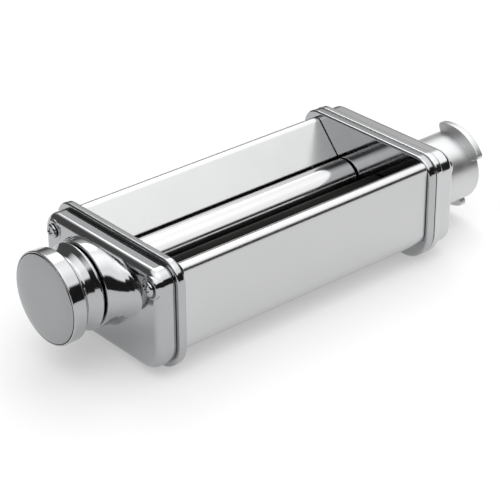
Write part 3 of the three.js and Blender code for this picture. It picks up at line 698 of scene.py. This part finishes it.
def gear_cover():
    outline = cap_outline(COVER_INSET, COVER_BOTTOM, COVER_CORNERS)
    cover = make("gear_cover_casting", shell(COVER_BACK, COVER_FACE, outline, COVER_EDGE))
    plate = plate_outline("right_end_plate")
    skirt = make("skirt", slab(COVER_BACK, COVER_BACK + RIM_DEPTH, plate, RIM_INNER_EDGE, PLATE_EDGE))
    combine(skirt, "DIFFERENCE", [lofted([(x, outline(CAP_WALL)) for x in (
        COVER_BACK - PAST, COVER_BACK + RIM_DEPTH + PAST)])])
    solids = [take_mesh(skirt)]
    holes = screw_seats(cover, "gear_cover", COVER_FACE, COVER_BACK, outline)
    inside = COVER_FACE - 2 * MM
    profile = densify(fillet(
        [(inside, COLLAR_R + 6 * MM), (COVER_FACE - 0.2 * MM, COLLAR_R + 5 * MM),
         (COVER_FACE + 0.8 * MM, COLLAR_R + 1.4 * MM), (COVER_FACE + 3.8 * MM, COLLAR_R),
         (cover_hi.x, COLLAR_R), (cover_hi.x, COLLAR_BORE_R),
         (COVER_FACE + BEARING_LENGTH, COLLAR_BORE_R), (COVER_FACE + BEARING_LENGTH, BEARING_BORE_R),
         (inside, BEARING_BORE_R), (inside, COLLAR_R + 6 * MM)], 0.6 * MM, 8), 2 * MM)
    solids.append(turned(profile, DRIVE.y, DRIVE.z, 160))
    for start, end, r in LUGS:
        x0, x1 = cover_hi.x - LUG_T, cover_hi.x - 0.02 * MM
        solids.append(slab(x0, x1, lambda m, s=start, e=end, q=r: lug_outline(
            s + math.degrees(m / q), e - math.degrees(m / q), COLLAR_R - 1 * MM, q - m),
            LUG_EDGE, LUG_EDGE))
    combine(cover, "UNION", solids)
    hair = 0.01 * MM                   # keeps the bores' cutters off the walls that are there already
    bearing_end = COVER_FACE + BEARING_LENGTH
    holes.append(rod(bearing_end, cover_hi.x + PAST, COLLAR_BORE_R - hair, DRIVE.y, DRIVE.z, 160))
    holes.append(rod(inside - PAST, COVER_FACE + 5 * MM, BEARING_BORE_R - hair, DRIVE.y, DRIVE.z, 64))
    combine(cover, "DIFFERENCE", holes)
    look(cover, "frame", "chrome_casting", ["gear_cover"], 24, PALE_CASTING)
    cover.data.materials.append(TURNED_COLLAR)
    for face in cover.data.polygons:
        if face.center.x > COVER_FACE + COLLAR_FOOT:
            face.material_index = 1


gear_cover()

# ------------------------------------------------------------------ screws


def screw(node):
    """A domed screw with a cross recess. Its head faces outwards, away from the machine."""
    lo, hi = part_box(node)
    c = centre(node)
    out = -1 if c.x < 0 else 1
    head, tip = (lo.x, hi.x) if out < 0 else (hi.x, lo.x)

    def at(depth):
        return head - out * depth

    crown = [(at(0), 0), (at(0.05 * MM), 1.4 * MM), (at(0.45 * MM), HEAD_R - 0.7 * MM),
             (at(1.1 * MM), HEAD_R), (at(HEAD_T), HEAD_R), (at(HEAD_T), SHANK_R), (tip, SHANK_R),
             (tip, 0)]
    body = make(f"{node}_body", turned(fillet(crown, 0.5 * MM, 5), c.y, c.z, 64))
    x0, x1 = sorted((at(-PAST), at(CROSS_DEPTH)))
    long, thin = CROSS_HALF_LENGTH, CROSS_HALF_WIDTH
    combine(body, "DIFFERENCE", [
        block(x0, x1, c.y - long, c.y + long, c.z - thin, c.z + thin),
        block(x0, x1, c.y - thin, c.y + thin, c.z - long, c.z + long),
        turned([(at(depth * MM), r * MM) for depth, r in CROSS_CONE], c.y, c.z, 24)])
    look(body, "frame", "chrome_casting", [node])


for cap in ("left_cap", "gear_cover"):
    for where in ("front", "rear"):
        screw(f"{cap}_screw_{where}")

# ------------------------------------------------------------------ rollers and drive


def roller(node, body, material=None):
    """A drum between its journals, a little shorter than the sheets beside it."""
    lo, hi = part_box(node)
    c = centre(node)
    r = (hi.z - lo.z) / 2
    sheet_lo, sheet_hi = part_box("front_sheet")
    x0, x1 = sheet_lo.x + ROLLER_INSET, sheet_hi.x - ROLLER_INSET
    profile = [(lo.x, 0), (lo.x, JOURNAL_R), (x0, JOURNAL_R), (x0, r), (x1, r), (x1, JOURNAL_R),
               (hi.x, JOURNAL_R), (hi.x, 0)]
    drum = make(f"{node}_drum", turned(densify(fillet(profile, ROLLER_EDGE), 6 * MM), c.y, c.z, 160))
    look(drum, body, "roller_steel", [node], material=material)


# The front roller gets painted shade: a near-black, dull finish in place of its steel.
roller("front_roller", "front_roller_set", PAINTED_SHADE_ROLLER)
roller("rear_roller", "rear_roller_set")


def drive_coupling():
    """A sleeve on the roller's shaft, with a turned groove round it and a six-sided socket in its
    open end."""
    lo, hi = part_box("drive_coupling")
    c = centre("drive_coupling")
    r = (hi.z - lo.z) / 2
    shaft_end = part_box("front_roller")[1].x
    chamfer, groove = 1 * MM, 0.4 * MM
    profile = fillet([
        (lo.x, 0), (lo.x, r - chamfer), (lo.x + chamfer, r), (lo.x + 7 * MM, r),
        (lo.x + 7.4 * MM, r - groove), (lo.x + 8.2 * MM, r - groove), (lo.x + 8.6 * MM, r),
        (hi.x - chamfer, r), (hi.x, r - chamfer), (hi.x, 0)], 0.3 * MM, 4)
    body = make("drive_coupling_body", turned(profile, c.y, c.z, 96))
    angles = [PI / 3 * i + PI / 6 for i in range(6)]
    corners = [(c.y + SOCKET_R * math.cos(a), c.z + SOCKET_R * math.sin(a)) for a in angles]
    web = 2 * MM                       # left between the shaft's end and the socket
    combine(body, "DIFFERENCE", [
        rod(lo.x - PAST, shaft_end + GAP, JOURNAL_R + GAP, c.y, c.z, 48),
        lofted([(x, corners) for x in (shaft_end + web, hi.x + PAST)])])
    look(body, "front_roller_set", "plated_steel", ["drive_coupling"])


drive_coupling()

# ------------------------------------------------------------------ knob


def knob():
    """The grip, a waist and a second ring in one turned piece, hollow for the spring in front and
    squared for the shaft behind."""
    lo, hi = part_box("knob")
    r = (hi.z - lo.z) / 2
    face_lo, face_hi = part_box("knob_face")
    recess = (face_hi.z - face_lo.z) / 2 + GAP
    back = hi.x

    def at(depth):
        return lo.x + depth * MM

    floor_x, seat_x = lo.x + SPRING_FLOOR, lo.x + DISC_SEAT
    hollow = [(floor_x, 0), (floor_x, KNOB_POCKET_R), (seat_x, KNOB_POCKET_R), (seat_x, recess),
              (at(0.2), recess)]
    grip = [(at(0.2), r - 0.3 * MM), (at(0.6), r), (at(6.9), r - 0.15 * MM), (at(8.2), r - 1.4 * MM),
            (at(8.6), r - 3.4 * MM)]
    waist = [(at(9.6), KNOB_NECK_R + 0.2 * MM), (at(11.5), KNOB_NECK_R),
             (at(14.3), KNOB_NECK_R + 1.9 * MM)]
    groove_x, groove_r = back - RING_GROOVE, KNOB_RING_R - RING_GROOVE
    ring = [(at(16.2), KNOB_RING_R), (groove_x, KNOB_RING_R), (groove_x, groove_r), (back, groove_r),
            (back, 0)]
    profile = densify(fillet(hollow + grip + waist + ring, 1.1 * MM, 8), 2 * MM)
    y, z = KNOB_AXIS.y, KNOB_AXIS.z
    body = make("knob_body", turned(profile, y, z, 160))
    half = SHAFT_SQUARE / 2
    pin = centre("locating_pin")
    combine(body, "DIFFERENCE", [
        block(lo.x + SQUARE_START, back + PAST, y - half, y + half, z - half, z + half),
        rod(back - PIN_HOLE_DEPTH, back + PAST, PIN_HOLE_R, pin.y, pin.z, 24)])
    look(body, "knob_group", "chrome_casting", ["knob"])


def knob_face(steps=40):
    """The knob's face disc: flat in the middle, and falling away to a rounded rim."""
    lo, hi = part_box("knob_face")
    r = (hi.z - lo.z) / 2
    shoulder = 0.975 * r
    crown = [(lo.x + DISC_CROWN * (q / steps) ** 6, shoulder * q / steps) for q in range(steps)]
    edge = fillet([(lo.x + DISC_CROWN, shoulder), (lo.x + 1.25 * DISC_CROWN, r), (hi.x, r),
                   (hi.x, 0.95 * r)], 0.35 * MM, 5)
    disc = make("knob_face_disc", turned(crown + edge + [(hi.x, 0)], KNOB_AXIS.y, KNOB_AXIS.z, 160))
    look(disc, "knob_group", "chrome_casting", ["knob_face"], material=SPUN_DISC)


knob()
knob_face()


def knob_spring():
    """The spring between the shaft's washer and the floor of the knob's pocket."""
    lo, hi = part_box("knob_spring")
    axis = centre("knob_spring")
    r = (hi.y - lo.y) / 2 - WIRE_R
    spring = make("knob_spring_coil", coil(lo.x + WIRE_R, hi.x - WIRE_R, axis.y, axis.z, r, WIRE_R,
                                           SPRING_TURNS, SPRING_FLAT_TURNS))
    look(spring, "adjuster", "spring_steel", ["knob_spring"])
    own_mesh(spring)


knob_spring()

# ------------------------------------------------------------------ the inner mechanism
# Every node that no piece above stands for keeps its own shape, with broken edges and a finish.
REPLACED = {n for o in bpy.data.objects for n in o.get("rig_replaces", [])}
SLOTS = {s["node"]: s["material_slot"] for s in frame["record"]["subparts"]}
for name, obj in frame["nodes"].items():
    if name in REPLACED:
        continue
    obj.data.polygons.foreach_set("use_smooth", [True] * len(obj.data.polygons))
    obj.data.set_sharp_from_angle(angle=math.radians(32))
    obj.data.materials.clear()
    obj.data.materials.append(MATERIALS[SLOTS[name]])
    edge = obj.modifiers.new("broken edges", "BEVEL")
    edge.width = 0.2 * MM
    edge.segments = 2
    edge.limit_method = "ANGLE"
    edge.angle_limit = math.radians(50)
    edge.use_clamp_overlap = True

# ------------------------------------------------------------------ studio


TABLE_GLOW = 0.4                   # light that the pale table gives off itself
TABLE_HALF = 6.0                   # metres
TABLE_DARK, TABLE_LIGHT = (0.45, 0.45, 0.45, 1), (0.48, 0.48, 0.48, 1)


def floor():
    near, far = -TABLE_HALF, TABLE_HALF
    obj = make("floor", ([(near, near, 0), (far, near, 0), (far, far, 0), (near, far, 0)],
                         [[0, 1, 2, 3]]))
    material = bpy.data.materials.new("pale_floor")
    material.use_nodes = True
    g = Graph(material.node_tree)
    tone = g.mix(g.span(g.noise(3, 3), 0.3, 0.7, 0, 1), TABLE_DARK, TABLE_LIGHT)
    shader = g.node("BsdfPrincipled", Roughness=0.7)
    g.put(tone, shader.inputs["Base Color"])
    shader.inputs["Emission Color"].default_value = (1, 1, 1, 1)
    shader.inputs["Emission Strength"].default_value = TABLE_GLOW
    out = g.node("OutputMaterial")
    g.put(shader.outputs[0], out.inputs["Surface"])
    obj.data.materials.append(material)


def studio_world():
    """A pale tent: bright overhead and dark near the horizon, with the darkest band in front and
    a dark flank at the rear left."""
    world = bpy.data.worlds.new("studio")
    bpy.context.scene.world = world
    world.use_nodes = True
    g = Graph(world.node_tree)
    direction = g.node("TexCoord").outputs["Generated"]
    split = g.node("SeparateXYZ", Vector=direction)
    height = split.outputs["Z"]
    front = g.maths("ADD", g.span(height, 0.5, 0.57, 0.02, 1.6), g.span(height, 0.72, 0.98, 0, 1.0))
    right = g.maths("ADD", g.span(height, 0.2, 0.46, 0.15, 0.8), g.span(height, 0.5, 0.62, 0, 0.9))
    left = g.span(height, 0.7, 0.85, 0.12, 1.6)
    rear = g.mix(g.span(split.outputs["X"], 0.3, -0.05, 0, 1), right, left)
    tone = g.mix(g.span(split.outputs["Y"], -0.15, 0.35, 0, 1), front, rear)
    background = g.node("Background", Strength=1.0)
    g.put(tone, background.inputs["Color"])
    out = g.node("OutputWorld")
    g.put(background.outputs[0], out.inputs["Surface"])


def area_light(name, location, target, size, power):
    data = bpy.data.lights.new(name, "AREA")
    data.shape = "RECTANGLE"
    data.size, data.size_y = size
    data.energy = power
    obj = bpy.data.objects.new(name, data)
    obj.location = location
    obj.rotation_euler = (Vector(target) - Vector(location)).to_track_quat("-Z", "Y").to_euler()
    bpy.context.scene.collection.objects.link(obj)


CAMERA_AZIMUTH, CAMERA_ELEVATION, CAMERA_ROLL = -40.767, 28.7, -0.273    # degrees
CAMERA_PLACE = (-0.499745, -0.574994, 0.4332)
CAMERA_LENS, SENSOR_WIDTH = 133.08, 36     # mm


def camera():
    azimuth, elevation, roll = map(math.radians, (CAMERA_AZIMUTH, CAMERA_ELEVATION, CAMERA_ROLL))
    back = Vector((math.sin(azimuth) * math.cos(elevation), -math.cos(azimuth) * math.cos(elevation),
                   math.sin(elevation)))
    level = Vector((math.cos(azimuth), math.sin(azimuth), 0))
    right = math.cos(roll) * level + math.sin(roll) * back.cross(level)
    up = back.cross(right)
    data = bpy.data.cameras.new("camera")
    data.sensor_width = SENSOR_WIDTH
    data.lens = CAMERA_LENS
    data.clip_start, data.clip_end = 0.01, 50
    obj = bpy.data.objects.new("camera", data)
    pose = Matrix((right, up, back)).transposed().to_4x4()
    pose.translation = Vector(CAMERA_PLACE)
    obj.matrix_world = pose
    bpy.context.scene.collection.objects.link(obj)
    bpy.context.scene.camera = obj


bpy.context.scene.view_settings.view_transform = "Standard"
floor()
studio_world()
area_light("key", location=(0.7, 1.0, 1.6), target=(0, 0, 0), size=(1.0, 1.0), power=6)
camera()
